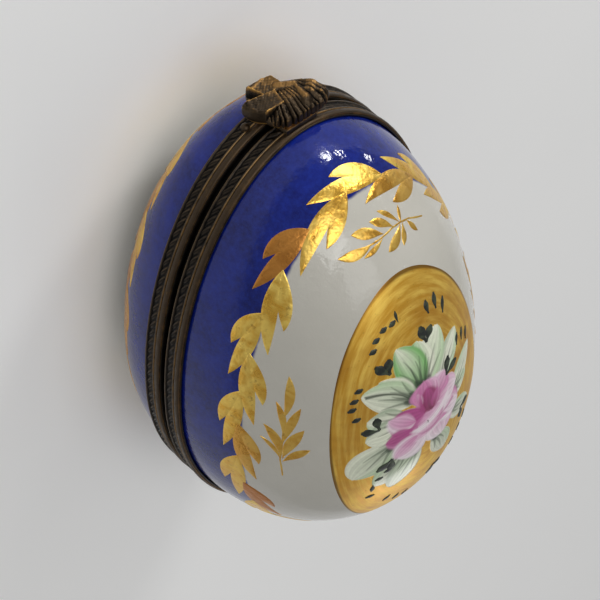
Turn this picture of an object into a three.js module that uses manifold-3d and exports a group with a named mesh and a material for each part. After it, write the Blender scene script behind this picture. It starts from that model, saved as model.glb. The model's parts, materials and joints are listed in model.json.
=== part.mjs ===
// A porcelain egg trinket box that opens lengthwise, in millimetres, +Z up.
//
// The seam runs through both ends of the egg, so the box is two long half-eggs of porcelain with a
// metal band around each rim. +Y is the broad end with the hinge, and -Y is the narrow end with the
// clasp. Each piece is built around the seam: its plane is z = 0, and the egg's widest section is y = 0.
// The whole box is then lifted and centred, so that it rests on the plane z = 0.
import * as THREE from "three";
import { mergeVertices } from "three/addons/utils/BufferGeometryUtils.js";
import Module from "manifold-3d";

// Porcelain half-eggs
const HALF_WIDTH = 21; // half the egg's width at its widest section
const NARROW_LENGTH = 37; // widest section to the narrow end
const BROAD_LENGTH = 28.5; // widest section to the broad end
const LID_DOME = 23.5; // height of the lid's dome above its straight rim
const BASE_DOME = 15.1; // depth of the base's dome below its straight rim
const LID_SQUARENESS = 2; // exponent of the cross-section, where 2 is a true ellipse
const BASE_SQUARENESS = 2.4;
const RIM_HEIGHT = 2.6; // straight part of each rim, measured from the seam
const PORCELAIN_EDGE = 1; // seam to the porcelain's edge
const PORCELAIN_WALL = 2.4;
const FLOOR_WALL = 2.2;
const GROUND_FLAT = 0.5; // how much is ground off the base to make it stand

// Metal bands. A section is a list of (outward offset, distance from the seam) around the rim's outline.
const BAND_GAP = 0.12; // between porcelain and metal
const BAND_FACE = 0.35; // outer face of the band
const BAND_TOP = 3.4; // far edge of the band
const GROOVE_HALF = 0.5; // half the dark groove between the two bands
const SEAM_GAP = 0.05; // half the gap between the closed rims
const SEAT_FACE = -0.5; // the rims' seats stand back from the bands
const SEAT_BACK = -2.2;
const SEAT_CLEARANCE = 0.1; // between a seat and the porcelain's edge above it
const SOLDER_GAP = 0.05; // between two metal pieces that are soldered together
const TRIM_BACK = BAND_FACE + SOLDER_GAP;
const CHASING_HEIGHT = 0.3; // how far the chased strip stands off its band
const CHASING_RELIEF = 0.1; // extra height of every second mark
const CHASED_WIDTH = 1.75;
const CHASING_BEVEL = 0.15;
const BEAD_WIDTH = 0.95;
const BEAD_HEIGHT = 0.36;
const COLLAR_BACK = -3.1;
const COLLAR_FACE = -2.65;
const COLLAR_RISE = 1.4;
const COLLAR_DROP = 2;

// Hinge
const HINGE_HALF_WIDTH = 6;
const KNUCKLE_RADIUS = 1.15;
const BORE_RADIUS = 0.55;
const PIN_RADIUS = 0.5;
const PIN_HEAD_RADIUS = 0.85;
const PIN_HEAD = 0.35;
const PIN_HEAD_TAPER = 0.7; // end of a peened head, as a share of its widest radius
const KNUCKLE_GAP = 0.12;
const LEAF_BACK = 0.9;
const LEAF_FACE = 1.3;
const LEAF_TOP = 3;
const LEAF_BOTTOM = 0.35;
const HINGE_AXIS_OFFSET = LEAF_FACE + SOLDER_GAP + KNUCKLE_RADIUS;

// Clasp
const TONGUE_HALF_WIDTH = 2.2;
const TONGUE_BACK = 0.9;
const TONGUE_FACE = 1.4;
const TONGUE_TOP = 3;
const TONGUE_BOTTOM = -2.7;
const NUB_RADIUS = 0.55;
const NUB_HEIGHT = 0.45;
const NUB_DEPTH = -1.9; // its place on the base band, below the seam
const NUB_CLEARANCE = 0.15;
const STOP_BEAD_RADIUS = 0.6;
const STOP_BEAD_ANGLE = 0.21; // its place around the rim from the narrow end, in radians
const CUSHION_HALF_LENGTH = 4.2; // the bow's fluted body
const CUSHION_REACH = 2.9; // how far it reaches over the lid's band
const CUSHION_BACK_REACH = 1.5; // and over the base's band
const CUSHION_THICKNESS = 1.9;
const CUSHION_BACK_ENDS = [-0.6, 0.7]; // shares of the half length where the plain side's corners lie
const FLUTES = 9;
const FLUTE_SWELL = 0.07;
const BOW_BEVEL = 0.3;
const BOW_SHIFT = -0.5; // the bow sits a little to one side of the tongue
const RIBBON_ROOT = 0.7; // half a ribbon's width at the knot
const RIBBON_THICKNESS = 1.4;
const RIBBON_FLARE = 0.7; // half width at mid reach, as a share of the end's
const RIBBON_NOTCH = 0.92; // depth of the hollow end, as a share of the reach
const RIBBONS = [
  // turn is the ribbon's direction in the bow's plane: 0 is +X and a quarter turn is the lid's side
  { turn: -0.19, reach: 5.2, halfWidth: 1.65, lift: 0.4 },
  { turn: -0.85, reach: 4.2, halfWidth: 1.75, lift: 1.3 },
  { turn: 2.85, reach: 4.3, halfWidth: 1.5, lift: 0.7 },
  { turn: -2.9, reach: 3.3, halfWidth: 1.2, lift: 1.2 },
];
const KNOT_SIZE = [2, 3.6, 2.9]; // width, length and height of the gathered centre
const KNOT_TURN = -0.25;

// Mesh fineness
const LENGTH_STEPS = 20;
const ROUND_STEPS = 40;
const RIM_STEPS = 64;
const CHASING_STEPS = 128;
const SMALL_STEPS = 20;

const FAR = 200; // larger than the box, for the blocks that cut it
const MERGE_DISTANCE = 1e-4;

const wasm = await Module();
wasm.setup();

// Colours
const porcelain = (hex) => new THREE.MeshStandardMaterial({ color: hex, roughness: 0.12, metalness: 0 });
const bronze = (hex) => new THREE.MeshStandardMaterial({ color: hex, roughness: 0.45, metalness: 0.9 });
const COBALT = 0x1b2a8f;
const DARK_BRONZE = 0x3a3024;
const BEAD_BRONZE = 0x5a4428;
const WORN_BRONZE = 0x6b5230;

// A closed geometry as a solid that can be cut and joined, and back.
function solidOf(geometry) {
  const bare = geometry.clone();
  bare.deleteAttribute("normal");
  bare.deleteAttribute("uv");
  const merged = mergeVertices(bare, MERGE_DISTANCE);
  return new wasm.Manifold(
    new wasm.Mesh({
      numProp: 3,
      vertProperties: merged.attributes.position.array,
      triVerts: new Uint32Array(merged.index.array),
    }),
  );
}

function geometryOf(solid) {
  const { vertProperties, triVerts } = solid.getMesh();
  const geometry = new THREE.BufferGeometry();
  geometry.setAttribute("position", new THREE.BufferAttribute(vertProperties, 3));
  geometry.setIndex(new THREE.BufferAttribute(triVerts, 1));
  const faceted = geometry.toNonIndexed();
  faceted.computeVertexNormals();
  return faceted;
}

// A box between two corners.
function block(low, high) {
  const size = high.map((value, i) => value - low[i]);
  const geometry = new THREE.BoxGeometry(...size);
  return geometry.translate(...low.map((value, i) => value + size[i] / 2));
}

// Half an egg with a straight rim, dome up, its underside flat at rimBottom.
// inset moves the side walls inwards and domeInset lowers the dome, which gives the hollow of a shell.
function halfEgg({ dome, squareness, rimBottom, inset = 0, domeInset = 0 }) {
  const profile = [];
  for (let j = 0; j <= LENGTH_STEPS; j++) {
    const angle = Math.PI * (j / LENGTH_STEPS - 0.5);
    const length = (angle < 0 ? NARROW_LENGTH : BROAD_LENGTH) - inset;
    const atEnd = j === 0 || j === LENGTH_STEPS;
    profile.push(new THREE.Vector2(atEnd ? 0 : Math.cos(angle), length * Math.sin(angle)));
  }
  const geometry = new THREE.LatheGeometry(profile, ROUND_STEPS);
  const position = geometry.attributes.position;
  for (let k = 0; k < position.count; k++) {
    const meridian = Math.floor(k / profile.length);
    const fullness = profile[k % profile.length].x;
    const { across, up } = crossSection(meridian, squareness);
    const x = (HALF_WIDTH - inset) * fullness * across;
    const z = up === null ? rimBottom : RIM_HEIGHT + (dome - domeInset) * fullness * up;
    position.setXYZ(k, x, position.getY(k), z);
  }
  return geometry;
}

// One step around the half-egg: over the dome from the top, down one rim, along the flat underside
// and up the other rim. up is null on the underside.
function crossSection(meridian, squareness) {
  const quarter = ROUND_STEPS / 4;
  if (meridian > quarter && meridian < 3 * quarter)
    return { across: 1 - (meridian - quarter - 1) / (quarter - 1), up: null };
  const angle = (2 * Math.PI * meridian) / ROUND_STEPS;
  const bend = (value) => Math.sign(value) * Math.abs(value) ** (2 / squareness);
  const onRim = meridian === quarter || meridian === 3 * quarter;
  return { across: bend(Math.sin(angle)), up: onRim ? 0 : bend(Math.cos(angle)) };
}

// A porcelain half-egg, hollow and open at the seam.
function shell(dome, squareness) {
  const outside = solidOf(halfEgg({ dome, squareness, rimBottom: PORCELAIN_EDGE }));
  const hollow = halfEgg({
    dome,
    squareness,
    rimBottom: -PORCELAIN_EDGE,
    inset: PORCELAIN_WALL,
    domeInset: FLOOR_WALL,
  });
  return outside.subtract(solidOf(hollow));
}

// A point on the rim's outline, moved outwards by offset. Angle 0 is the narrow end.
function rimPoint(angle, offset) {
  const length = Math.cos(angle) > 0 ? NARROW_LENGTH : BROAD_LENGTH;
  const x = HALF_WIDTH * Math.sin(angle);
  const y = -length * Math.cos(angle);
  const outward = new THREE.Vector2(x / HALF_WIDTH ** 2, y / length ** 2).normalize();
  return new THREE.Vector2(x + offset * outward.x, y + offset * outward.y);
}

// A closed ring around the rim with the given section. relief raises the outer points of every second step.
function rimRing(section, steps = RIM_STEPS, relief = 0) {
  const farOut = Math.max(...section.map(([offset]) => offset));
  const profile = [...section, section[0]].map(([offset, z]) => new THREE.Vector2(FAR + offset, z));
  const geometry = new THREE.LatheGeometry(profile, steps);
  const position = geometry.attributes.position;
  for (let k = 0; k < position.count; k++) {
    const step = Math.floor(k / profile.length) % steps;
    const [offset, z] = section[(k % profile.length) % section.length];
    const raised = offset === farOut && step % 2 === 1 ? relief : 0;
    const point = rimPoint((2 * Math.PI * step) / steps, offset + raised);
    position.setXYZ(k, point.x, point.y, z);
  }
  return geometry;
}

// The bent band: its outer wall covers the porcelain's rim and its stepped-back seat meets the other half.
function bezel() {
  const web = PORCELAIN_EDGE - SEAT_CLEARANCE;
  return rimRing([
    [SEAT_BACK, SEAM_GAP],
    [SEAT_FACE, SEAM_GAP],
    [SEAT_FACE, GROOVE_HALF],
    [BAND_FACE, GROOVE_HALF],
    [BAND_FACE, BAND_TOP],
    [BAND_GAP, BAND_TOP],
    [BAND_GAP, web],
    [SEAT_BACK, web],
  ]);
}

// The chased strip, from its edge nearest the seam. Its long edges are bevelled.
function chasedStrip(from) {
  const section = [
    [TRIM_BACK, from],
    [TRIM_BACK + CHASING_HEIGHT, from + CHASING_BEVEL],
    [TRIM_BACK + CHASING_HEIGHT, from + CHASED_WIDTH - CHASING_BEVEL],
    [TRIM_BACK, from + CHASED_WIDTH],
  ];
  return rimRing(section, CHASING_STEPS, CHASING_RELIEF);
}

// A plain half-round bead, from its edge nearest the seam.
function beadWire(from) {
  const steps = 5;
  const section = [];
  for (let i = 0; i <= steps; i++) {
    const angle = Math.PI * (i / steps);
    const offset = TRIM_BACK + BEAD_HEIGHT * Math.sin(angle);
    section.push([i === steps ? TRIM_BACK : offset, from + (BEAD_WIDTH * (1 - Math.cos(angle))) / 2]);
  }
  return rimRing(section);
}

// The thin inner lip that stands up from the base rim and centres the closed lid.
function collar() {
  return rimRing([
    [COLLAR_BACK, -COLLAR_DROP],
    [COLLAR_FACE, -COLLAR_DROP],
    [COLLAR_FACE, COLLAR_RISE],
    [COLLAR_BACK, COLLAR_RISE],
  ]);
}

// A block at one end of the egg: its back follows the rim and its face is flat.
function endBlock({ middle, halfWidth, back, face, from, to }) {
  const reach = Math.asin(halfWidth / HALF_WIDTH);
  const side = Math.cos(middle) > 0 ? -1 : 1;
  const faceY = side * ((side < 0 ? NARROW_LENGTH : BROAD_LENGTH) + face);
  const steps = 10;
  const outline = [];
  for (let i = 0; i <= steps; i++)
    outline.push(rimPoint(middle + reach * ((2 * i) / steps - 1), back));
  outline.push(new THREE.Vector2(outline[steps].x, faceY), new THREE.Vector2(outline[0].x, faceY));
  const geometry = new THREE.ExtrudeGeometry(new THREE.Shape(outline), {
    depth: to - from,
    bevelEnabled: false,
  });
  return geometry.translate(0, 0, from);
}

function hingeLeaf() {
  return endBlock({
    middle: Math.PI,
    halfWidth: HINGE_HALF_WIDTH,
    back: LEAF_BACK,
    face: LEAF_FACE,
    from: LEAF_BOTTOM,
    to: LEAF_TOP,
  });
}

// A hinge barrel around the Y axis, turned onto the hinge's line by its mesh.
function knuckle(length) {
  return new THREE.LatheGeometry(
    [
      new THREE.Vector2(BORE_RADIUS, -length / 2),
      new THREE.Vector2(KNUCKLE_RADIUS, -length / 2),
      new THREE.Vector2(KNUCKLE_RADIUS, length / 2),
      new THREE.Vector2(BORE_RADIUS, length / 2),
      new THREE.Vector2(BORE_RADIUS, -length / 2),
    ],
    SMALL_STEPS,
  );
}

// The hinge pin with a peened head at each end.
function hingePin() {
  const neck = HINGE_HALF_WIDTH + SOLDER_GAP;
  const end = neck + PIN_HEAD;
  return new THREE.LatheGeometry(
    [
      new THREE.Vector2(0, -end),
      new THREE.Vector2(PIN_HEAD_RADIUS * PIN_HEAD_TAPER, -end),
      new THREE.Vector2(PIN_HEAD_RADIUS, -neck),
      new THREE.Vector2(PIN_RADIUS, -neck),
      new THREE.Vector2(PIN_RADIUS, neck),
      new THREE.Vector2(PIN_HEAD_RADIUS, neck),
      new THREE.Vector2(PIN_HEAD_RADIUS * PIN_HEAD_TAPER, end),
      new THREE.Vector2(0, end),
    ],
    SMALL_STEPS,
  );
}

// The spring tongue, with a hole that drops over the catch nub.
function claspTongue() {
  const tongue = solidOf(
    endBlock({
      middle: 0,
      halfWidth: TONGUE_HALF_WIDTH,
      back: TONGUE_BACK,
      face: TONGUE_FACE,
      from: TONGUE_BOTTOM,
      to: TONGUE_TOP,
    }),
  );
  const holeRadius = NUB_RADIUS + NUB_CLEARANCE;
  const hole = new THREE.CylinderGeometry(holeRadius, holeRadius, FAR / 2, SMALL_STEPS);
  hole.translate(0, -NARROW_LENGTH, NUB_DEPTH);
  return tongue.subtract(solidOf(hole));
}

// A low dome on the Y axis, base at y = 0, pointing to -Y.
function lowDome(radius, height) {
  const steps = 5;
  const profile = [];
  for (let i = 0; i <= steps; i++) {
    const angle = (Math.PI / 2) * (i / steps);
    profile.push(new THREE.Vector2(i === 0 ? 0 : radius * Math.sin(angle), -height * Math.cos(angle)));
  }
  profile[steps].y = 0;
  profile.push(new THREE.Vector2(0, 0));
  return new THREE.LatheGeometry(profile, SMALL_STEPS);
}

// A flat shape as a slab with bevelled edges: its back at y = 0, its front towards -Y, and the
// shape's own y upwards.
function bevelledSlab(shape, thickness) {
  const geometry = new THREE.ExtrudeGeometry(shape, {
    depth: thickness - 2 * BOW_BEVEL,
    bevelThickness: BOW_BEVEL,
    bevelSize: BOW_BEVEL,
    bevelOffset: -BOW_BEVEL,
    bevelSegments: 2,
    curveSegments: 5,
  });
  return geometry.translate(0, 0, BOW_BEVEL).rotateX(Math.PI / 2);
}

// The bow's body: fluted like gathered cloth on the lid's side, plain on the base's side.
function cushion() {
  const steps = 6 * FLUTES;
  const points = [];
  for (let i = 0; i <= steps; i++) {
    const angle = Math.PI * (i / steps);
    const swell = 1 + FLUTE_SWELL * Math.abs(Math.sin(FLUTES * angle));
    points.push(
      new THREE.Vector2(
        CUSHION_HALF_LENGTH * swell * Math.cos(angle),
        CUSHION_REACH * swell * Math.sin(angle),
      ),
    );
  }
  for (const share of CUSHION_BACK_ENDS)
    points.push(new THREE.Vector2(share * CUSHION_HALF_LENGTH, -CUSHION_BACK_REACH));
  return bevelledSlab(new THREE.Shape(points), CUSHION_THICKNESS);
}

// One flared ribbon end, from the knot outwards.
function ribbonEnd({ turn, reach, halfWidth, lift }) {
  const shape = new THREE.Shape();
  const side = halfWidth * RIBBON_FLARE;
  shape.moveTo(0, -RIBBON_ROOT);
  shape.quadraticCurveTo(reach / 2, -side, reach, -halfWidth);
  shape.quadraticCurveTo(reach * RIBBON_NOTCH, 0, reach, halfWidth);
  shape.quadraticCurveTo(reach / 2, side, 0, RIBBON_ROOT);
  shape.closePath();
  return bevelledSlab(shape, RIBBON_THICKNESS).rotateY(-turn).translate(0, -lift, 0);
}

// The cast bow, back at y = 0 and front towards -Y.
function claspBow() {
  const [width, length, height] = KNOT_SIZE;
  const half = [width / 2, length / 2];
  const outline = [
    new THREE.Vector2(-half[0], -half[1]),
    new THREE.Vector2(half[0], -half[1]),
    new THREE.Vector2(half[0], half[1]),
    new THREE.Vector2(-half[0], half[1]),
  ];
  const knot = bevelledSlab(new THREE.Shape(outline), height).rotateY(-KNOT_TURN);
  let bow = solidOf(cushion()).add(solidOf(knot));
  for (const ribbon of RIBBONS) bow = bow.add(solidOf(ribbonEnd(ribbon)));
  return bow;
}

// Assembly
const box = new THREE.Group();

function addPiece(name, geometry, material) {
  const mesh = new THREE.Mesh(geometry, material);
  mesh.name = name;
  box.add(mesh);
  return mesh;
}

// The base's pieces are made like the lid's, then turned over about the egg's long axis.
const turnedOver = (geometry) => geometry.rotateY(Math.PI);

const baseDepth = RIM_HEIGHT + BASE_DOME - GROUND_FLAT;
const groundOff = block([-FAR, -FAR, baseDepth], [FAR, FAR, FAR]);
const baseSolid = shell(BASE_DOME, BASE_SQUARENESS).subtract(solidOf(groundOff));
const seamEdge = GROOVE_HALF + SOLDER_GAP;
const trimSpace = BEAD_WIDTH + SOLDER_GAP;

addPiece("base_shell", turnedOver(geometryOf(baseSolid)), porcelain(COBALT));
addPiece("base_bezel", turnedOver(bezel()), bronze(DARK_BRONZE));
addPiece("base_bead", turnedOver(beadWire(seamEdge)), bronze(BEAD_BRONZE));
addPiece("base_rope", turnedOver(chasedStrip(seamEdge + trimSpace)), bronze(DARK_BRONZE));
addPiece("base_collar", collar(), bronze(DARK_BRONZE));
addPiece("base_hinge_leaf", turnedOver(hingeLeaf()), bronze(DARK_BRONZE));

addPiece("lid_shell", geometryOf(shell(LID_DOME, LID_SQUARENESS)), porcelain(COBALT));
addPiece("lid_bezel", bezel(), bronze(DARK_BRONZE));
addPiece("lid_rope", chasedStrip(seamEdge), bronze(DARK_BRONZE));
addPiece("lid_bead", beadWire(seamEdge + CHASED_WIDTH + SOLDER_GAP), bronze(BEAD_BRONZE));
addPiece("lid_hinge_leaf", hingeLeaf(), bronze(DARK_BRONZE));

const hingeY = BROAD_LENGTH + HINGE_AXIS_OFFSET;
const knuckleLength = (2 * HINGE_HALF_WIDTH - 2 * KNUCKLE_GAP) / 3;
const knuckleStep = knuckleLength + KNUCKLE_GAP;
const knuckles = [
  ["base_knuckle_left", -knuckleStep],
  ["lid_knuckle", 0],
  ["base_knuckle_right", knuckleStep],
];
for (const [name, x] of knuckles) {
  const barrel = addPiece(name, knuckle(knuckleLength), bronze(WORN_BRONZE));
  barrel.position.set(x, hingeY, 0);
  barrel.rotation.z = Math.PI / 2;
}
const pin = addPiece("hinge_pin", hingePin(), bronze(WORN_BRONZE));
pin.position.set(0, hingeY, 0);
pin.rotation.z = Math.PI / 2;

const nub = addPiece("catch_nub", lowDome(NUB_RADIUS, NUB_HEIGHT), bronze(WORN_BRONZE));
const trimFace = TRIM_BACK + CHASING_HEIGHT + CHASING_RELIEF;
nub.position.set(0, -NARROW_LENGTH - trimFace - SOLDER_GAP, NUB_DEPTH);

const stopBead = addPiece("stop_bead", lowDome(STOP_BEAD_RADIUS, STOP_BEAD_RADIUS), bronze(BEAD_BRONZE));
const stopPlace = rimPoint(STOP_BEAD_ANGLE, trimFace + SOLDER_GAP);
stopBead.position.set(stopPlace.x, stopPlace.y, NUB_DEPTH);
stopBead.rotation.z = Math.atan((NARROW_LENGTH / HALF_WIDTH) * Math.tan(STOP_BEAD_ANGLE));

addPiece("clasp_tongue", geometryOf(claspTongue()), bronze(DARK_BRONZE));
const bow = addPiece("clasp_bow", geometryOf(claspBow()), bronze(WORN_BRONZE));
bow.position.set(BOW_SHIFT, -NARROW_LENGTH - TONGUE_FACE - SOLDER_GAP, 0);

const narrowReach = new THREE.Box3().setFromObject(bow, true).min.y;
const broadReach = hingeY + KNUCKLE_RADIUS;
box.position.set(0, -(narrowReach + broadReach) / 2, baseDepth);

const trinketBox = new THREE.Group();
trinketBox.add(box);

export default trinketBox;
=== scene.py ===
# A porcelain egg trinket box: cobalt and white glaze, gilded laurel wreaths and sprigs, a gold medallion
# painted with a rose, chased bronze bands, a barrel hinge and a cast ribbon-bow clasp.
#
# Shapes are worked out in millimetres in egg coordinates: the seam is z = 0, the egg's widest section is
# y = 0, the narrow end points to -Y and the lid is above. Bearings go round the rim from the narrow end,
# positive towards +X, and latitudes rise from the rim to the top of the dome.
import json
import math
import random

import bmesh
import bpy
import numpy as np
from mathutils import Matrix, Vector


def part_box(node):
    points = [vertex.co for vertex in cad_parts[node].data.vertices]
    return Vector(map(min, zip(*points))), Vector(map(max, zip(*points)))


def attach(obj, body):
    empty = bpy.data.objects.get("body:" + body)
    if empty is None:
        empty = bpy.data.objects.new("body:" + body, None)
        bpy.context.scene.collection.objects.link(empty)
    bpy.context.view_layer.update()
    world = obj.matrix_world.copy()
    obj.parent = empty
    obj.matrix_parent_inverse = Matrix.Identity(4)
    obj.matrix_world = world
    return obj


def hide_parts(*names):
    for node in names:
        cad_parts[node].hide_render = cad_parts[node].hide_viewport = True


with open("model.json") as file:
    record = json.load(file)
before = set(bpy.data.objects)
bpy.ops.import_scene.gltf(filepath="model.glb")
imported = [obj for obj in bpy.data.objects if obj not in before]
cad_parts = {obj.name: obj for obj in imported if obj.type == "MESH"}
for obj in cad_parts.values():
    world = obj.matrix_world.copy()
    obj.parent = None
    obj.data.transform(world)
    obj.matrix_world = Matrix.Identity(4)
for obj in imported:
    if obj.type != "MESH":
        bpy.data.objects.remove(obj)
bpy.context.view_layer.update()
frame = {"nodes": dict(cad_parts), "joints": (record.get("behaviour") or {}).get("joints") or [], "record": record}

MM = 0.001
MERGE_DISTANCE = 1e-7  # metres
HINGE = frame["joints"][0]
GROUND = frame["record"]["mounts"][0]
EGG_ORIGIN = np.array([0.0, GROUND["pos_m"][1], HINGE["pos_m"][2]])

# Porcelain half-eggs, in millimetres
HALF_WIDTH = 21.0
NARROW_LENGTH = 37.0
BROAD_LENGTH = 28.5
PAINT_ALLOWANCE = 0.08  # the glaze stands back by the thickness of the gilding and enamel over it
LID_DOME = 23.5 - PAINT_ALLOWANCE
BASE_DOME = 15.1
LID_SQUARENESS = 2.0
BASE_SQUARENESS = 2.4
RIM_HEIGHT = 2.6
PORCELAIN_EDGE = 1.0
EDGE_ROUND = 0.3  # radius of the porcelain's fired edge
EDGE_TURN = 0.09  # how near the edge's corner comes to being square
PORCELAIN_WALL = 2.4
FLOOR_WALL = 2.2

# Metal bands, as outward offsets from the rim and distances from the seam
BAND_GAP = 0.12
BAND_FACE = 0.35
BAND_TOP = 3.4
GROOVE_HALF = 0.5
SEAM_GAP = 0.05
SEAT_FACE = -0.5
SEAT_BACK = -2.2
SEAT_TOP = 0.9
TRIM_BACK = 0.4
TRIM_GAP = 0.05
CHASED_WIDTH = 1.75
BEAD_WIDTH = 0.95
BEAD_HEIGHT = 0.34
RELIEF = 0.35
CHASED_MARKS = 122
SLANT = 0.75  # how far a mark leans over half the strip's width, in marks

# Painting
# Plan radii as shares of the rim's: the wreath's stem, and the edge of the white field under it
LID_STEM = 0.918
BASE_STEM = 0.862
FIELD_INSET = 0.012
FIELD_BLUR = 0.004
# Heights over the ground in metres, where the base's glaze begins and below which it is ground off
FOOT_GLAZED, FOOT_BARE = 0.0002, 0.0001
OVAL_CENTRE = (0.0, -3.0)
OVAL_HALF = (12.4, 22.3)
GILT_LIFT = 0.03  # how far the gilding stands off the glaze
SUNK = -0.03  # edges of painted patches end just inside the glaze

RANDOM = random.Random(7)


# ---------------------------------------------------------------- geometry helpers

def to_world(points):
    return np.asarray(points, float) * MM + EGG_ORIGIN


def lengths_along(y):
    return np.where(np.asarray(y) < 0, NARROW_LENGTH, BROAD_LENGTH)


def smoothstep(value, low, high):
    share = np.clip((value - low) / (high - low), 0.0, 1.0)
    return share * share * (3.0 - 2.0 * share)


def unit(vectors):
    return vectors / np.maximum(np.linalg.norm(vectors, axis=-1, keepdims=True), 1e-12)


class HalfEgg:
    """The outer surface of one half-egg above its straight rim. side is 1 for the lid, -1 for the base."""

    def __init__(self, dome, squareness, side, inset=0.0, dome_inset=0.0):
        self.half_width = HALF_WIDTH - inset
        self.inset = inset
        self.dome = dome - dome_inset
        self.power = squareness
        self.side = side

    def parts(self, points):
        x = points[..., 0] / self.half_width
        lengths = lengths_along(points[..., 1]) - self.inset
        w = (self.side * points[..., 2] - RIM_HEIGHT) / self.dome
        ring = np.abs(x) ** self.power + np.abs(w) ** self.power + 1e-12
        return x, lengths, w, ring

    def snap(self, points):
        """Moves points onto the surface, towards or away from the egg's middle."""
        points = np.array(points, float)
        _, lengths, _, ring = self.parts(points)
        total = ring ** (2 / self.power) + (points[..., 1] / lengths) ** 2
        scale = 1 / np.sqrt(total)
        height = (self.side * points[..., 2] - RIM_HEIGHT) * scale + RIM_HEIGHT
        return np.stack([points[..., 0] * scale, points[..., 1] * scale, self.side * height], axis=-1)

    def normal(self, points):
        x, lengths, w, ring = self.parts(points)
        slope = ring ** (2 / self.power - 1)
        across = slope * np.abs(x) ** (self.power - 1) * np.sign(x) / self.half_width
        up = slope * np.abs(w) ** (self.power - 1) * np.sign(w) / self.dome
        along = points[..., 1] / lengths ** 2
        return unit(np.stack([across, along, self.side * up], axis=-1))

    def at(self, bearing, latitude):
        bearing, latitude = np.broadcast_arrays(np.asarray(bearing, float), np.asarray(latitude, float))
        lengths = np.where(np.cos(bearing) > 0, NARROW_LENGTH, BROAD_LENGTH) - self.inset
        x = self.half_width * np.sin(bearing) * np.cos(latitude)
        y = -lengths * np.cos(bearing) * np.cos(latitude)
        z = self.side * (RIM_HEIGHT + self.dome * np.sin(latitude))
        return self.snap(np.stack([x, y, z], axis=-1))

    def over(self, x, y):
        """The point above or below a place in the plan."""
        x, y = np.broadcast_arrays(np.asarray(x, float), np.asarray(y, float))
        reach = np.clip(1 - (y / (lengths_along(y) - self.inset)) ** 2, 0, 1) ** (self.power / 2)
        height = np.clip(reach - np.abs(x / self.half_width) ** self.power, 0, 1) ** (1 / self.power)
        return np.stack([x, y, self.side * (RIM_HEIGHT + self.dome * height)], axis=-1)


LID = HalfEgg(LID_DOME, LID_SQUARENESS, 1)
BASE = HalfEgg(BASE_DOME, BASE_SQUARENESS, -1)


def rim_point(bearing, offset):
    """A point on the rim's outline moved outwards, as x and y."""
    lengths = np.where(np.cos(bearing) > 0, NARROW_LENGTH, BROAD_LENGTH)
    x = HALF_WIDTH * np.sin(bearing)
    y = -lengths * np.cos(bearing)
    outward = unit(np.stack([x / HALF_WIDTH ** 2, y / lengths ** 2], axis=-1))
    return np.stack([x + offset * outward[..., 0], y + offset * outward[..., 1]], axis=-1)


def even_bearings(count, share=1.0):
    """Bearings at even steps round the rim's outline scaled by share, then its run and fine bearings."""
    fine = np.linspace(0, 2 * math.pi, 4001)
    outline = share * rim_point(fine, 0.0)
    steps = np.linalg.norm(np.diff(outline, axis=0), axis=1)
    run = np.concatenate([[0.0], np.cumsum(steps)])
    return np.interp(np.arange(count) * run[-1] / count, run, fine), run, fine


def grid_faces(rows, columns, first=0, closed_rows=False, closed_columns=False):
    row_count = rows if closed_rows else rows - 1
    column_count = columns if closed_columns else columns - 1
    row, column = np.meshgrid(np.arange(row_count), np.arange(column_count), indexing="ij")
    next_row = (row + 1) % rows
    next_column = (column + 1) % columns
    corners = [row * columns + column, row * columns + next_column,
               next_row * columns + next_column, next_row * columns + column]
    return (np.stack([c.ravel() for c in corners], axis=1) + first).tolist()


class Patchwork:
    """Gathers many small meshes into one."""

    def __init__(self):
        self.points = []
        self.faces = []
        self.tones = []
        self.count = 0

    def add(self, points, faces, tone=0.0):
        self.points.append(np.asarray(points, float).reshape(-1, 3))
        self.faces += [[corner + self.count for corner in face] for face in faces]
        self.tones += [tone] * len(self.points[-1])
        self.count += len(self.points[-1])

    def all_points(self):
        return np.concatenate(self.points)


def mesh_object(name, points, faces):
    mesh = bpy.data.meshes.new(name)
    mesh.from_pydata(to_world(points).tolist(), [], faces)
    mesh.update()
    mesh.polygons.foreach_set("use_smooth", [True] * len(mesh.polygons))
    piece = bpy.data.objects.new(name, mesh)
    bpy.context.scene.collection.objects.link(piece)
    return piece


def finish_piece(piece, materials, body, stands_for=()):
    """Gives a piece its materials and body, and hides the CAD nodes that it stands for."""
    for material in materials:
        piece.data.materials.append(material)
    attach(piece, body)
    if stands_for:
        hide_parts(*stands_for)
    return piece


def face_outwards(piece):
    """Turns each closed part of a mesh so that its faces point out."""
    mesh = piece.data
    work = bmesh.new()
    work.from_mesh(mesh)
    bmesh.ops.remove_doubles(work, verts=work.verts, dist=MERGE_DISTANCE)
    bmesh.ops.recalc_face_normals(work, faces=work.faces)
    work.to_mesh(mesh)
    work.free()
    mesh.update()


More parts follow.
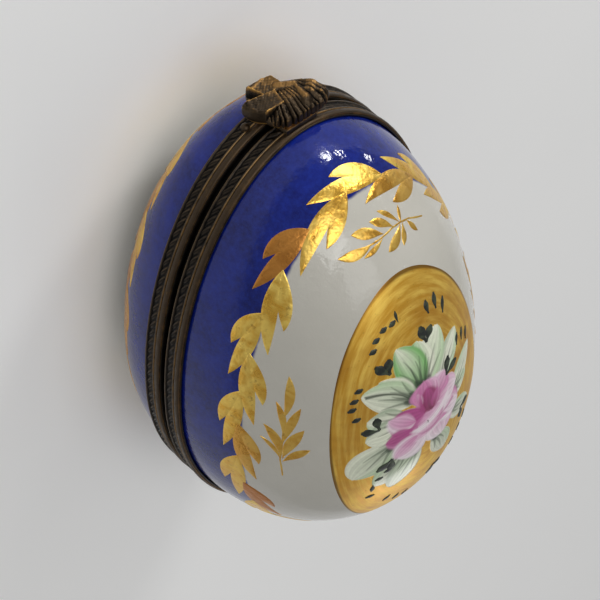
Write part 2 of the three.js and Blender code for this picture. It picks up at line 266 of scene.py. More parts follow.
def store_wear(piece, gain=2.2, middle=0.35, passes=2, rubbed=0.0):
    """Stores in each vertex how far it stands out from its neighbours, which is where a patina rubs off."""
    mesh = piece.data
    count = len(mesh.vertices)
    places = np.empty(count * 3)
    mesh.vertices.foreach_get("co", places)
    places = places.reshape(-1, 3)
    normals = np.empty(count * 3)
    mesh.vertices.foreach_get("normal", normals)
    normals = normals.reshape(-1, 3)
    edges = np.empty(len(mesh.edges) * 2, int)
    mesh.edges.foreach_get("vertices", edges)
    start, end = edges.reshape(-1, 2).T

    def neighbour_mean(values):
        total = np.zeros_like(values)
        np.add.at(total, start, values[end])
        np.add.at(total, end, values[start])
        degree = np.bincount(start, minlength=count) + np.bincount(end, minlength=count)
        return total / np.maximum(degree, 1).reshape([-1] + [1] * (values.ndim - 1))

    spacing = np.linalg.norm(places[start] - places[end], axis=1)
    stand_out = np.einsum("ij,ij->i", places - neighbour_mean(places), normals) / max(spacing.mean(), 1e-9)
    for _ in range(passes):
        stand_out = 0.5 * stand_out + 0.5 * neighbour_mean(stand_out)
    wear = np.clip(middle + gain * stand_out + rubbed, 0, 1)
    mesh.attributes.new("wear", "FLOAT", "POINT").data.foreach_set("value", wear)


# ---------------------------------------------------------------- materials

def srgb(red, green, blue):
    """A colour given as display values from 0 to 255."""
    def linear(value):
        value /= 255
        return value / 12.92 if value <= 0.04045 else ((value + 0.055) / 1.055) ** 2.4
    return (linear(red), linear(green), linear(blue), 1.0)


# A mix node has sockets of one name for each type of value, so its colours are found by their places
MIX_FIRST_COLOUR, MIX_SECOND_COLOUR, MIX_RESULT_COLOUR = 6, 7, 2


class Shader:
    """One material's nodes. Inputs can be numbers, colours or other nodes' outputs."""

    def __init__(self, name, **constants):
        self.material = bpy.data.materials.new(name)
        self.material.use_nodes = True
        self.tree = self.material.node_tree
        self.surface = next(n for n in self.tree.nodes if n.type == "BSDF_PRINCIPLED")
        self.place = self.node("ShaderNodeTexCoord").outputs["Object"]
        for socket, value in constants.items():
            self.surface.inputs[socket.replace("_", " ")].default_value = value

    def node(self, kind, **settings):
        made = self.tree.nodes.new(kind)
        for name, value in settings.items():
            setattr(made, name, value)
        return made

    def feed(self, socket, value):
        if isinstance(value, bpy.types.NodeSocket):
            self.tree.links.new(value, socket)
        else:
            socket.default_value = value

    def set(self, name, value):
        self.feed(self.surface.inputs[name], value)

    def math(self, operation, *values):
        made = self.node("ShaderNodeMath", operation=operation)
        for socket, value in zip(made.inputs, values):
            self.feed(socket, value)
        return made.outputs[0]

    def noise(self, size_mm, detail=2.0, roughness=0.5, place=None, distortion=0.0):
        made = self.node("ShaderNodeTexNoise")
        self.feed(made.inputs["Vector"], place or self.place)
        self.feed(made.inputs["Scale"], 1 / (size_mm * MM) if place is None else 1 / size_mm)
        self.feed(made.inputs["Detail"], detail)
        self.feed(made.inputs["Roughness"], roughness)
        self.feed(made.inputs["Distortion"], distortion)
        return made.outputs["Fac"]

    def remap(self, value, low, high, to_low=0.0, to_high=1.0):
        made = self.node("ShaderNodeMapRange", interpolation_type="SMOOTHSTEP")
        for socket, number in zip(made.inputs, (value, low, high, to_low, to_high)):
            self.feed(socket, number)
        return made.outputs[0]

    def mix(self, share, first, second):
        made = self.node("ShaderNodeMix", data_type="RGBA")
        self.feed(made.inputs["Factor"], share)
        self.feed(made.inputs[MIX_FIRST_COLOUR], first)
        self.feed(made.inputs[MIX_SECOND_COLOUR], second)
        return made.outputs[MIX_RESULT_COLOUR]

    def attribute(self, name):
        return self.node("ShaderNodeAttribute", attribute_name=name)

    def bump(self, height, depth_mm):
        made = self.node("ShaderNodeBump")
        self.feed(made.inputs["Strength"], 1.0)
        self.feed(made.inputs["Distance"], depth_mm * MM)
        self.feed(made.inputs["Height"], height)
        self.set("Normal", made.outputs["Normal"])

    def plan(self, centre, narrow, broad, across):
        """Plan coordinates from the object's own: x and y shares, and their radius."""
        split = self.node("ShaderNodeSeparateXYZ")
        self.feed(split.inputs[0], self.place)
        x = self.math("DIVIDE", split.outputs[0], across * MM)
        y = self.math("SUBTRACT", split.outputs[1], centre)
        narrow_side = self.math("DIVIDE", self.math("MINIMUM", y, 0.0), narrow * MM)
        broad_side = self.math("DIVIDE", self.math("MAXIMUM", y, 0.0), broad * MM)
        y = self.math("ADD", narrow_side, broad_side)
        square = self.math("ADD", self.math("MULTIPLY", x, x), self.math("MULTIPLY", y, y))
        radius = self.math("SQRT", square)
        return x, y, radius, split.outputs[2]


def glaze_surface(shader):
    """The slow waviness of a hand-dipped glaze, and the orange peel that breaks up its sharpest glints."""
    slow = shader.noise(5.0, detail=2.0)
    peel = shader.noise(0.8, detail=2.0, roughness=0.6)
    shader.bump(shader.math("ADD", slow, shader.math("MULTIPLY", peel, 0.55)), 0.06)
    shader.set("Roughness", shader.remap(shader.noise(6.0), 0.3, 0.7, 0.06, 0.12))


def painted_glaze(name, stem):
    """Cobalt at the rim, white inside the wreath, and bare porcelain where the foot is ground flat."""
    shader = Shader(name, IOR=1.42)
    _, _, radius, height = shader.plan(EGG_ORIGIN[1], NARROW_LENGTH, BROAD_LENGTH, HALF_WIDTH)
    wander = shader.math("MULTIPLY", shader.math("SUBTRACT", shader.noise(2.2), 0.5), 0.012)
    field = stem - FIELD_INSET
    edge = shader.remap(shader.math("ADD", radius, wander), field - FIELD_BLUR, field + FIELD_BLUR)
    broad_mottle = shader.remap(shader.noise(5.0, detail=4.0, roughness=0.65), 0.32, 0.7)
    fine_mottle = shader.remap(shader.noise(0.7, detail=5.0, roughness=0.75), 0.3, 0.72)
    cobalt = shader.mix(broad_mottle, srgb(5, 14, 80), srgb(15, 31, 118))
    cobalt = shader.mix(shader.math("MULTIPLY", fine_mottle, 0.5), cobalt, srgb(24, 48, 144))
    milk = shader.mix(shader.noise(9.0, detail=3.0), srgb(180, 177, 167), srgb(194, 191, 182))
    specks = shader.remap(shader.noise(0.45, detail=3.0, roughness=0.8), 0.70, 0.76)
    milk = shader.mix(shader.math("MULTIPLY", specks, 0.18), milk, srgb(150, 140, 120))
    painted = shader.mix(edge, milk, cobalt)
    bare = shader.remap(height, FOOT_GLAZED, FOOT_BARE)
    shader.set("Base Color", shader.mix(bare, painted, srgb(205, 198, 186)))
    glaze_surface(shader)
    return shader.material


def white_glaze():
    shader = Shader("white_glaze", IOR=1.45)
    pool = shader.noise(8.0, detail=4.0)
    shader.set("Base Color", shader.mix(pool, srgb(196, 193, 185), srgb(209, 206, 199)))
    glaze_surface(shader)
    return shader.material


GOLD = srgb(232, 180, 70)
GOLD_BRIGHT = srgb(252, 218, 112)
GOLD_SATIN = srgb(190, 122, 56)
GOLD_BROWN = srgb(122, 76, 32)


def burnished_gold():
    """Brushed-on gilding: bright where it's thick and brown where the brush left it thin."""
    shader = Shader("burnished_gold", Metallic=0.88)
    stroke = shader.noise(2.6, detail=3.0, roughness=0.6, distortion=0.6)
    thin = shader.remap(shader.noise(1.1, detail=4.0, roughness=0.7), 0.56, 0.72)
    gold = shader.mix(shader.remap(stroke, 0.35, 0.65), GOLD, GOLD_BRIGHT)
    gold = shader.mix(shader.attribute("satin").outputs["Fac"], gold, GOLD_SATIN)
    shader.set("Base Color", shader.mix(shader.math("MULTIPLY", thin, 0.5), gold, GOLD_BROWN))
    shader.set("Roughness", shader.remap(stroke, 0.3, 0.7, 0.24, 0.44))
    dimples = shader.noise(0.7, detail=1.0)
    grain = shader.math("MULTIPLY", shader.noise(0.25, detail=2.0), 0.3)
    shader.bump(shader.math("ADD", dimples, grain), 0.075)
    return shader.material


def medallion_gold():
    """Satin gold in concentric brush strokes, with the painting over it."""
    shader = Shader("medallion_gold", IOR=1.42)
    middle = EGG_ORIGIN[1] + OVAL_CENTRE[1] * MM
    x, y, radius, _ = shader.plan(middle, OVAL_HALF[1], OVAL_HALF[1], OVAL_HALF[0])
    inverse = shader.math("DIVIDE", 1.0, shader.math("MAXIMUM", radius, 0.05))
    around = shader.node("ShaderNodeCombineXYZ")
    shader.feed(around.inputs[0], shader.math("MULTIPLY", shader.math("MULTIPLY", x, inverse), 1.3))
    shader.feed(around.inputs[1], shader.math("MULTIPLY", shader.math("MULTIPLY", y, inverse), 1.3))
    shader.feed(around.inputs[2], shader.math("MULTIPLY", radius, 16.0))
    strokes = shader.noise(0.6, detail=4.0, roughness=0.65, place=around.outputs[0])
    patches = shader.remap(shader.noise(7.0, detail=3.0, roughness=0.55), 0.42, 0.68)
    specks = shader.remap(shader.noise(0.5, detail=4.0, roughness=0.8), 0.62, 0.7)
    gold = shader.mix(shader.remap(strokes, 0.35, 0.68), srgb(232, 174, 62), srgb(255, 216, 104))
    gold = shader.mix(shader.math("MULTIPLY", patches, 0.42), gold, srgb(186, 122, 48))
    gold = shader.mix(shader.math("MULTIPLY", specks, 0.45), gold, srgb(128, 84, 36))
    rim = shader.remap(radius, 0.972, 0.99)
    gold = shader.mix(shader.math("MULTIPLY", rim, 0.75), gold, srgb(92, 56, 26))
    paint = shader.attribute("paint")
    cover = shader.remap(shader.attribute("cover").outputs["Fac"], 0.35, 0.65)
    grain = shader.noise(0.8, detail=4.0, roughness=0.7)
    tone = shader.mix(shader.remap(grain, 0.3, 0.7, 0.0, 0.10), paint.outputs["Color"], srgb(120, 100, 100))
    shader.set("Base Color", shader.mix(cover, gold, tone))
    shader.set("Metallic", shader.math("MULTIPLY", shader.math("SUBTRACT", 1.0, cover), 0.8))
    satin = shader.remap(strokes, 0.3, 0.7, 0.34, 0.5)
    bare = shader.math("SUBTRACT", 1.0, cover)
    rough = shader.math("ADD", shader.math("MULTIPLY", satin, bare), shader.math("MULTIPLY", cover, 0.16))
    shader.set("Roughness", rough)
    shader.bump(shader.math("MULTIPLY", strokes, bare), 0.03)
    return shader.material


def enamel_black():
    """Black-green enamel strokes, thinner and greener where the brush lifted."""
    shader = Shader("enamel_black", IOR=1.5)
    thin = shader.remap(shader.noise(0.9, detail=3.0), 0.4, 0.7)
    shader.set("Base Color", shader.mix(thin, srgb(24, 30, 24), srgb(58, 68, 50)))
    shader.set("Roughness", shader.remap(shader.noise(0.5), 0.3, 0.7, 0.35, 0.55))
    shader.bump(shader.noise(0.3, detail=2.0), 0.01)
    return shader.material


def antiqued(name, recess, field, worn, glow, roughness=(0.3, 0.55), tarnish_mm=1.4):
    """Patinated brass: dark in the hollows and rubbed towards gold on the high points."""
    shader = Shader(name, Metallic=0.9)
    wear = shader.attribute("wear").outputs["Fac"]
    cloud = shader.noise(tarnish_mm, detail=5.0, roughness=0.65)
    speck = shader.noise(0.22, detail=3.0, roughness=0.7)
    rubbed = shader.math("ADD", wear, shader.math("MULTIPLY", shader.math("SUBTRACT", cloud, 0.5), 0.7))
    rubbed = shader.math("ADD", rubbed, shader.math("MULTIPLY", shader.math("SUBTRACT", speck, 0.5), 0.35))
    colour = shader.mix(shader.remap(rubbed, 0.08, 0.34), recess, field)
    colour = shader.mix(shader.remap(rubbed, 0.42, 0.72), colour, worn)
    colour = shader.mix(shader.remap(rubbed, 0.78, 1.05), colour, glow)
    shader.set("Base Color", colour)
    shader.set("Roughness", shader.remap(cloud, 0.3, 0.7, *roughness))
    shader.bump(shader.math("ADD", shader.math("MULTIPLY", cloud, 0.6), speck), 0.03)
    return shader.material


def pale_floor():
    shader = Shader("pale_floor", Roughness=0.6)
    shader.set("Base Color", shader.mix(shader.noise(30.0), srgb(252, 252, 251), srgb(255, 255, 254)))
    return shader.material


LID_GLAZE = painted_glaze("lid_glaze", LID_STEM)
BASE_GLAZE = painted_glaze("base_glaze", BASE_STEM)
WHITE_GLAZE = white_glaze()
GILT = burnished_gold()
MEDALLION = medallion_gold()
ENAMEL = enamel_black()
# Each bronze is given by the colours of its recesses, field, worn parts and most rubbed points
# The dark bronze's recess colour also paints the shade in the groove between the bands
DARK_BRONZE = antiqued(
    "dark_bronze", srgb(10, 9, 8), srgb(50, 44, 38), srgb(84, 71, 55), srgb(150, 118, 76))
BEAD_BRONZE = antiqued(
    "bead_bronze", srgb(18, 14, 11), srgb(68, 56, 43), srgb(108, 84, 56), srgb(176, 132, 78))
WORN_BRONZE = antiqued(
    "worn_bronze", srgb(12, 10, 8), srgb(66, 54, 40), srgb(140, 106, 62), srgb(214, 166, 88),
    tarnish_mm=2.2)


# ---------------------------------------------------------------- porcelain

OUTER_RINGS, INNER_RINGS = 75, 45


def shell_rows(half, hollow, steps):
    """Rings of a shell from the top of its dome, over the rim's rounded edge, to the top of its hollow."""
    bearings, _, _ = even_bearings(steps)
    side = half.side
    rows = []
    for latitude in np.linspace(math.pi / 2, 0, OUTER_RINGS + 1)[1:]:
        rows.append(half.at(bearings, latitude))
    outer_edge = ((2.0, 0.0), (PORCELAIN_EDGE + EDGE_ROUND, 0.0),
                  (PORCELAIN_EDGE + EDGE_TURN, -EDGE_TURN), (PORCELAIN_EDGE, -EDGE_ROUND))
    for z, offset in outer_edge:
        ring = rim_point(bearings, offset)
        rows.append(np.column_stack([ring, np.full(steps, side * z)]))
    outer_rows = len(rows)
    inner = hollow.at(bearings, 0.0)
    inner_edge = ((PORCELAIN_EDGE, EDGE_ROUND), (PORCELAIN_EDGE + EDGE_TURN, EDGE_TURN),
                  (PORCELAIN_EDGE + EDGE_ROUND, 0.0))
    for z, outward in inner_edge:
        ring = inner.copy()
        ring[:, :2] += outward * unit(ring[:, :2])
        ring[:, 2] = side * z
        rows.append(ring)
    for latitude in np.linspace(0, math.pi / 2, INNER_RINGS + 1)[:-1]:
        rows.append(hollow.at(bearings, latitude))
    return rows, outer_rows


def porcelain_shell(name, half, glaze, body):
    hollow = HalfEgg(half.dome, half.power, half.side, inset=PORCELAIN_WALL, dome_inset=FLOOR_WALL)
    steps = 288
    rows, outer_rows = shell_rows(half, hollow, steps)
    points = np.concatenate(rows + [half.at(0.0, math.pi / 2)[None], hollow.at(0.0, math.pi / 2)[None]])
    ground = -EGG_ORIGIN[2] / MM
    points[:, 2] = np.maximum(points[:, 2], ground)
    faces = grid_faces(len(rows), steps, closed_columns=True)
    outer_faces = (outer_rows - 1) * steps
    top, bottom = len(points) - 2, len(points) - 1
    last = (len(rows) - 1) * steps
    caps = [[top, (i + 1) % steps, i] for i in range(steps)]
    inner_caps = [[bottom, last + i, last + (i + 1) % steps] for i in range(steps)]
    piece = mesh_object(name, points, faces + caps + inner_caps)
    is_inner = [0] * outer_faces + [1] * (len(faces) - outer_faces) + [0] * steps + [1] * steps
    face_outwards(piece)
    finish_piece(piece, [glaze, WHITE_GLAZE], body, [name.replace("porcelain_", "")])
    piece.data.polygons.foreach_set("material_index", is_inner)
    return piece


# ---------------------------------------------------------------- gilding and enamel

def leaf(patchwork, half, spine, half_width, fullest=0.6, crown=0.03, lift=GILT_LIFT, across=6, blunt=0.03,
         satin=0.3):
    """A brushed leaf or stroke on the glaze, along spine points on the surface."""
    count = len(spine)
    along = np.linspace(0, 1, count)
    power = math.log(0.5) / math.log(fullest)
    width = half_width * np.sin(math.pi * along ** power) ** 0.85
    width = np.maximum(width, half_width * blunt)
    normals = half.normal(spine)
    tangents = unit(np.gradient(spine, axis=0))
    sideways = unit(np.cross(normals, tangents))
    shares = np.linspace(-1, 1, across + 1)
    points = half.snap(spine[:, None] + sideways[:, None] * width[:, None, None] * shares[None, :, None])
    height = SUNK + (lift - SUNK) * np.minimum(1, (1 - np.abs(shares)) * 6) + crown * (1 - shares ** 2)
    height[0] = height[-1] = SUNK
    points = points + half.normal(points) * height[None, :, None]
    patchwork.add(points, grid_faces(count, across + 1), satin)


def plan_curve(half, start, end, bend=0.0, count=13):
    """Points on the surface over a gently bent line in the plan. bend is its sagitta in millimetres."""
    start, end = np.array(start, float), np.array(end, float)
    share = np.linspace(0, 1, count)[:, None]
    side = np.array([-(end - start)[1], (end - start)[0]]) / np.linalg.norm(end - start)
    line = start + (end - start) * share + side * bend * 4 * share * (1 - share)
    return half.over(line[:, 0], line[:, 1])


WREATH_PAIRS = 26
WREATH_START = -4.9  # run from the narrow end to the first pair's root, in millimetres
# Each pair's two leaves share a root. For each: how far its tip lies along the stem, its half width, and
# whether it turns out from the stem late, near its tip, and not at once
PAIR_LEAVES = [(6.4, 1.1, False), (10.6, 1.22, True)]
# Latitudes of those two tips from the stem's in degrees, for pairs outside the stem and for pairs inside it
OUTSIDE, INSIDE = (-6.6, -5.2), (7.2, 5.4)


def wreath(patchwork, half, stem):
    """Forked pairs of laurel leaves, by turns outside and inside the stem, all pointing one way round."""
    _, run, bearings = even_bearings(1, stem)
    total = run[-1]
    stem_latitude = math.acos(stem)
    for pair in range(WREATH_PAIRS):
        root = WREATH_START + pair * total / WREATH_PAIRS + RANDOM.uniform(-0.25, 0.25)
        satin = RANDOM.random() ** 2
        for (reach, half_width, late), swing in zip(PAIR_LEAVES, INSIDE if pair % 2 else OUTSIDE):
            share = np.linspace(0, 1, 21)
            distance = root + reach * RANDOM.uniform(0.97, 1.06) * share
            bearing = np.interp(distance % total, run, bearings)
            opening = share ** 1.7 if late else 1 - (1 - share) ** 1.5
            swing = math.radians(swing) * RANDOM.uniform(0.92, 1.08)
            latitude = stem_latitude + swing * opening
            leaf(patchwork, half, half.at(bearing, latitude), half_width * RANDOM.uniform(0.94, 1.06),
                 fullest=0.5, satin=satin)


def sprig(patchwork, half, stem, leaves, mirror=1):
    """A sprig: a thin stem through plan points, and leaves given as root, tip, half width and bend."""
    def placed(point):
        return point[0] * mirror, point[1]

    for start, end in zip(stem, stem[1:]):
        leaf(patchwork, half, plan_curve(half, placed(start), placed(end)), 0.2, fullest=0.5, crown=0.02,
             across=2, blunt=0.8)
    for root, tip, half_width, bend in leaves:
        curve = plan_curve(half, placed(root), placed(tip), bend * mirror)
        leaf(patchwork, half, curve, half_width, fullest=0.58)


NARROW_SPRIG = {
    "stem": [(-7.5, -27.2), (-5.0, -28.7), (-3.5, -29.2), (-2.1, -29.4), (-0.2, -29.3), (2.2, -29.2)],
    "leaves": [
        ((1.4, -29.3), (5.8, -28.9), 0.8, 0.2),
        ((-0.2, -29.2), (3.0, -28.3), 0.42, 0.1),
        ((-0.6, -29.5), (3.2, -30.7), 0.85, -0.2),
        ((-2.3, -29.4), (0.4, -31.1), 0.65, -0.2),
        ((-3.4, -29.3), (-1.2, -31.5), 0.4, -0.2),
        ((-3.4, -29.1), (-0.2, -27.7), 0.75, 0.2),
        ((-3.8, -29.0), (-2.6, -27.2), 0.5, 0.1),
        ((-3.6, -29.1), (-4.4, -30.4), 0.3, 0.0),
        ((-4.6, -28.8), (-5.6, -27.0), 0.45, 0.0),
    ],
}
SIDE_SPRIG = {
    "stem": [(16.4, 2.4), (16.6, -0.9), (16.4, -3.0), (16.2, -5.4), (15.8, -8.8)],
    "leaves": [
        ((15.9, -8.4), (14.5, -15.1), 0.75, -0.2),
        ((16.2, -5.4), (16.1, -11.0), 0.55, -0.2),
        ((16.3, -4.0), (14.3, -10.4), 0.7, 0.2),
        ((16.6, -1.8), (17.4, -6.9), 0.8, -0.3),
        ((16.4, -1.2), (14.4, -6.8), 0.9, 0.3),
        ((16.6, -1.2), (17.8, -4.6), 0.4, -0.2),
        ((16.4, -0.6), (14.1, -3.3), 0.75, 0.2),
    ],
}
BROAD_SPRIG_SQUEEZE = 0.75  # the broad end's sprig mirrors the narrow end's in a shorter white space


def broad_sprig():
    def moved(point):
        return point[0], -point[1] * BROAD_SPRIG_SQUEEZE

    leaves = []
    for root, tip, width, bend in NARROW_SPRIG["leaves"]:
        leaves.append((moved(root), moved(tip), width, -bend))
    return {"stem": [moved(point) for point in NARROW_SPRIG["stem"]], "leaves": leaves}


def gilding(name, patchwork, body):
    piece = mesh_object(name, patchwork.all_points(), patchwork.faces)
    piece.data.attributes.new("satin", "FLOAT", "POINT").data.foreach_set("value", patchwork.tones)
    return finish_piece(piece, [GILT], body)


def lid_gilding():
    patchwork = Patchwork()
    wreath(patchwork, LID, LID_STEM)
    sprig(patchwork, LID, **NARROW_SPRIG)
    sprig(patchwork, LID, **broad_sprig(), mirror=-1)
    for mirror in (1, -1):
        sprig(patchwork, LID, **SIDE_SPRIG, mirror=mirror)
    return gilding("lid_gilding", patchwork, "lid")


def base_gilding():
    patchwork = Patchwork()
    wreath(patchwork, BASE, BASE_STEM)
    return gilding("base_gilding", patchwork, "base")


# Brush marks of black-green enamel on the medallion, in the plan. A heart is two strokes from one root,
# and a dash is a root, a tip and a half width
HEARTS = [
    ((-1.3, -15.4), (-0.9, -17.6), (-2.5, -16.8)),
    ((-3.8, -8.2), (-4.4, -10.5), (-5.8, -8.8)),
    ((4.5, -13.8), (4.3, -15.7), (5.9, -15.3)),
    ((6.8, -5.6), (7.0, -7.5), (8.7, -5.7)),
    ((5.3, 0.7), (5.6, 2.6), (7.0, 2.3)),
    ((-6.9, 1.2), (-7.1, 3.1), (-8.7, 1.4)),
    ((-2.6, 9.6), (-2.4, 11.6), (-4.2, 10.6)),
]
DASHES = [
    ((-2.7, -18.6), (-2.7, -20.4), 0.52), ((-4.1, -18.3), (-4.4, -20.3), 0.52),
    ((-5.1, -16.9), (-5.8, -18.7), 0.42), ((-6.6, -10.6), (-7.0, -12.2), 0.42),
    ((-7.9, -10.2), (-8.3, -11.8), 0.38), ((-9.0, -9.2), (-9.4, -10.8), 0.38),
    ((1.9, -20.1), (1.9, -21.6), 0.26), ((7.4, 5.6), (7.4, 7.2), 0.40),
    ((-8.8, 4.2), (-8.6, 5.7), 0.40), ((-8.0, 6.2), (-7.7, 7.7), 0.40), ((-6.8, 8.0), (-6.4, 9.5), 0.40),
    ((1.0, 12.4), (1.3, 13.9), 0.42), ((2.6, 11.8), (3.0, 13.3), 0.42), ((4.2, 10.6), (4.8, 12.0), 0.40),
]
HEART_REACH = 1.15
ENAMEL_LIFT = 0.07
DOTS = [
    (2.7, -20.3), (4.0, -20.0), (5.2, -19.0), (5.9, -17.7), (8.5, -12.7), (9.2, -11.2), (9.6, -9.9),
    (9.3, -8.2), (5.8, 2.9), (6.8, 4.3), (7.3, 8.6),
]


def enamel_strokes():
    patchwork = Patchwork()
    for root, *tips in HEARTS:
        for tip in np.array(root) + HEART_REACH * (np.array(tips) - root):
            leaf(patchwork, LID, plan_curve(LID, root, tip, 0.1), 0.8, 0.66, 0.06, ENAMEL_LIFT, blunt=0.3)
    for root, tip, half_width in DASHES:
        curve = plan_curve(LID, root, tip, 0.06)
        leaf(patchwork, LID, curve, half_width, 0.6, 0.05, ENAMEL_LIFT, blunt=0.3)
    for x, y in DOTS:
        spine = plan_curve(LID, (x - 0.5, y - 0.2), (x + 0.5, y + 0.25), 0.05)
        leaf(patchwork, LID, spine, 0.46, 0.5, 0.06, ENAMEL_LIFT, blunt=0.4)
    piece = mesh_object("lid_enamel_strokes", patchwork.all_points(), patchwork.faces)
    return finish_piece(piece, [ENAMEL], "lid")


# ---------------------------------------------------------------- the painted bouquet

class Painting:
    """Soft brush strokes laid in turn over the medallion's vertices. places are plan x and y."""

    def __init__(self, places):
        self.places = places
        self.colour = np.tile(np.array(srgb(214, 206, 178)[:3]), (len(places), 1))
        self.cover = np.zeros(len(places))

    def stroke_frame(self, root, tip, bend, samples=28):
        """Each vertex's share along a bent stroke and its signed distance from it, in millimetres."""
        root, tip = np.array(root, float), np.array(tip, float)
        span = tip - root
        side = np.array([-span[1], span[0]]) / np.linalg.norm(span)
        share = np.linspace(0, 1, samples)
        spine = root + span * share[:, None] + side * (bend * 4 * share * (1 - share))[:, None]
        gaps = self.places[:, None, :] - spine[None]
        nearest = np.argmin((gaps ** 2).sum(-1), axis=1)
        tangent = np.gradient(spine, axis=0)
        tangent /= np.linalg.norm(tangent, axis=1, keepdims=True)
        gap = gaps[np.arange(len(nearest)), nearest]
        direction = tangent[nearest]
        along = share[nearest] + (gap * direction).sum(1) / np.linalg.norm(span)
        across = gap[:, 1] * direction[:, 0] - gap[:, 0] * direction[:, 1]
        return along, across

    def lay(self, amount, colour, covers=True):
        amount = np.clip(amount, 0, 1)
        self.colour += (np.asarray(colour) - self.colour) * amount[:, None]
        if covers:
            self.cover = np.maximum(self.cover, amount)

    def petal(self, root, tip, half_width, colours, bend=0.0, fullest=0.62, soft=0.22, strength=1.0):
        """A petal or leaf. colours are those of its root, its tip, and its edge on either side."""
        along, across = self.stroke_frame(root, tip, bend)
        power = math.log(0.5) / math.log(fullest)
        inside = np.clip(along, 0, 1)
        width = half_width * np.sin(math.pi * inside ** power) ** 0.6
        reach = width - np.abs(across) - 2.0 * np.clip(along - 1, 0, 1) - 2.0 * np.clip(-along, 0, 1)
        body = smoothstep(reach, -soft, soft) * (along > -0.05) * (along < 1.05)
        share = np.clip(along, 0, 1)[:, None]
        turn = np.clip(across / np.maximum(width, 0.05), -1, 1)
        streak = 0.08 * np.sin(turn * 17 + 3 * share[:, 0]) + 0.05 * np.sin(turn * 41)
        colour = colours[0] * (1 - share) + colours[1] * share
        left = smoothstep(turn, 0.15, 0.95)[:, None]
        right = smoothstep(-turn, 0.15, 0.95)[:, None]
        colour = colour * (1 - left) + colours[2] * left
        colour = colour * (1 - right) + colours[3] * right
        colour = np.clip(colour * (1 + streak[:, None]), 0, 1)
        self.lay(body * strength, colour)

    def line(self, root, tip, half_width, colour, bend=0.0, strength=0.8):
        """A tapering brush line, such as a vein."""
        along, across = self.stroke_frame(root, tip, bend)
        width = half_width * (1.15 - np.clip(along, 0, 1))
        amount = smoothstep(width - np.abs(across), -0.10, 0.12) * (along > 0) * (along < 1)
        self.lay(amount * strength, colour, covers=False)


def shade(red, green, blue):
    return np.array(srgb(red, green, blue)[:3])


def paint_leaves(painting):
    cream, mint = shade(226, 230, 208), shade(188, 210, 172)
    green, grey_green = shade(120, 178, 104), shade(170, 184, 158)
    dark = shade(44, 60, 44)
    leaves = [
        # root, tip, half width, bend, then the colours of root, tip and both edges
        ((-2.6, -8.0), (-6.8, -13.4), 1.7, 0.3, (cream, cream, grey_green, mint)),
        ((0.0, -9.0), (-3.6, -16.4), 2.3, 0.4, (mint, cream, cream, mint)),
        ((0.4, -8.8), (0.2, -16.4), 2.4, 0.2, (cream, mint, green, cream)),
        ((0.8, -9.2), (3.2, -16.8), 2.1, -0.5, (green, cream, green, green)),
        ((1.4, -8.6), (6.0, -13.2), 1.9, 0.4, (green, mint, mint, cream)),
        ((1.8, -7.8), (8.4, -11.6), 2.2, -0.6, (grey_green, cream, cream, mint)),
        ((3.2, -6.6), (8.2, -7.4), 1.9, 0.4, (cream, cream, mint, grey_green)),
        ((3.4, -5.6), (8.6, -4.0), 2.1, 0.3, (cream, cream, cream, grey_green)),
        ((3.8, -3.4), (8.0, 0.0), 2.0, 0.3, (cream, grey_green, cream, cream)),
        ((-4.6, -2.6), (-9.6, -8.4), 1.5, 0.6, (grey_green, cream, mint, cream)),
        ((-4.0, -1.6), (-9.0, 1.2), 1.5, -0.4, (grey_green, cream, mint, cream)),
        ((4.8, -2.2), (10.0, 3.2), 2.5, -0.5, (grey_green, cream, mint, cream)),
        ((3.2, -0.6), (7.2, 6.0), 2.0, 0.3, (grey_green, cream, cream, mint)),
        ((-4.2, -4.6), (-8.2, -4.4), 1.8, 0.3, (cream, mint, cream, cream)),
        ((1.2, 0.6), (4.8, 7.8), 1.9, -0.4, (mint, cream, cream, grey_green)),
        ((-0.8, 0.6), (-3.6, 6.2), 1.7, 0.5, (grey_green, cream, mint, cream)),
    ]
    for root, tip, half_width, bend, colours in leaves:
        painting.petal(root, tip, 1.12 * half_width, colours, bend, fullest=0.52, soft=0.26)
    for root, tip, half_width, bend, _ in leaves:
        root, tip = np.array(root), np.array(tip)
        span = tip - root
        side = np.array([-span[1], span[0]]) / np.linalg.norm(span)
        for lean in (-0.62, 0.0, 0.62):
            end = root + span * (0.72 - 0.22 * abs(lean)) + side * lean * half_width
            painting.line(root, end, 0.32, dark, bend * 0.6, 0.55)
        painting.petal(root - span * 0.05, root + span * 0.24, 0.6, (dark, dark, dark, dark), 0,
                       fullest=0.5, soft=0.35, strength=0.7)
    painting.line((8.0, -11.4), (2.4, -8.6), 0.22, dark, 0.9, 0.85)


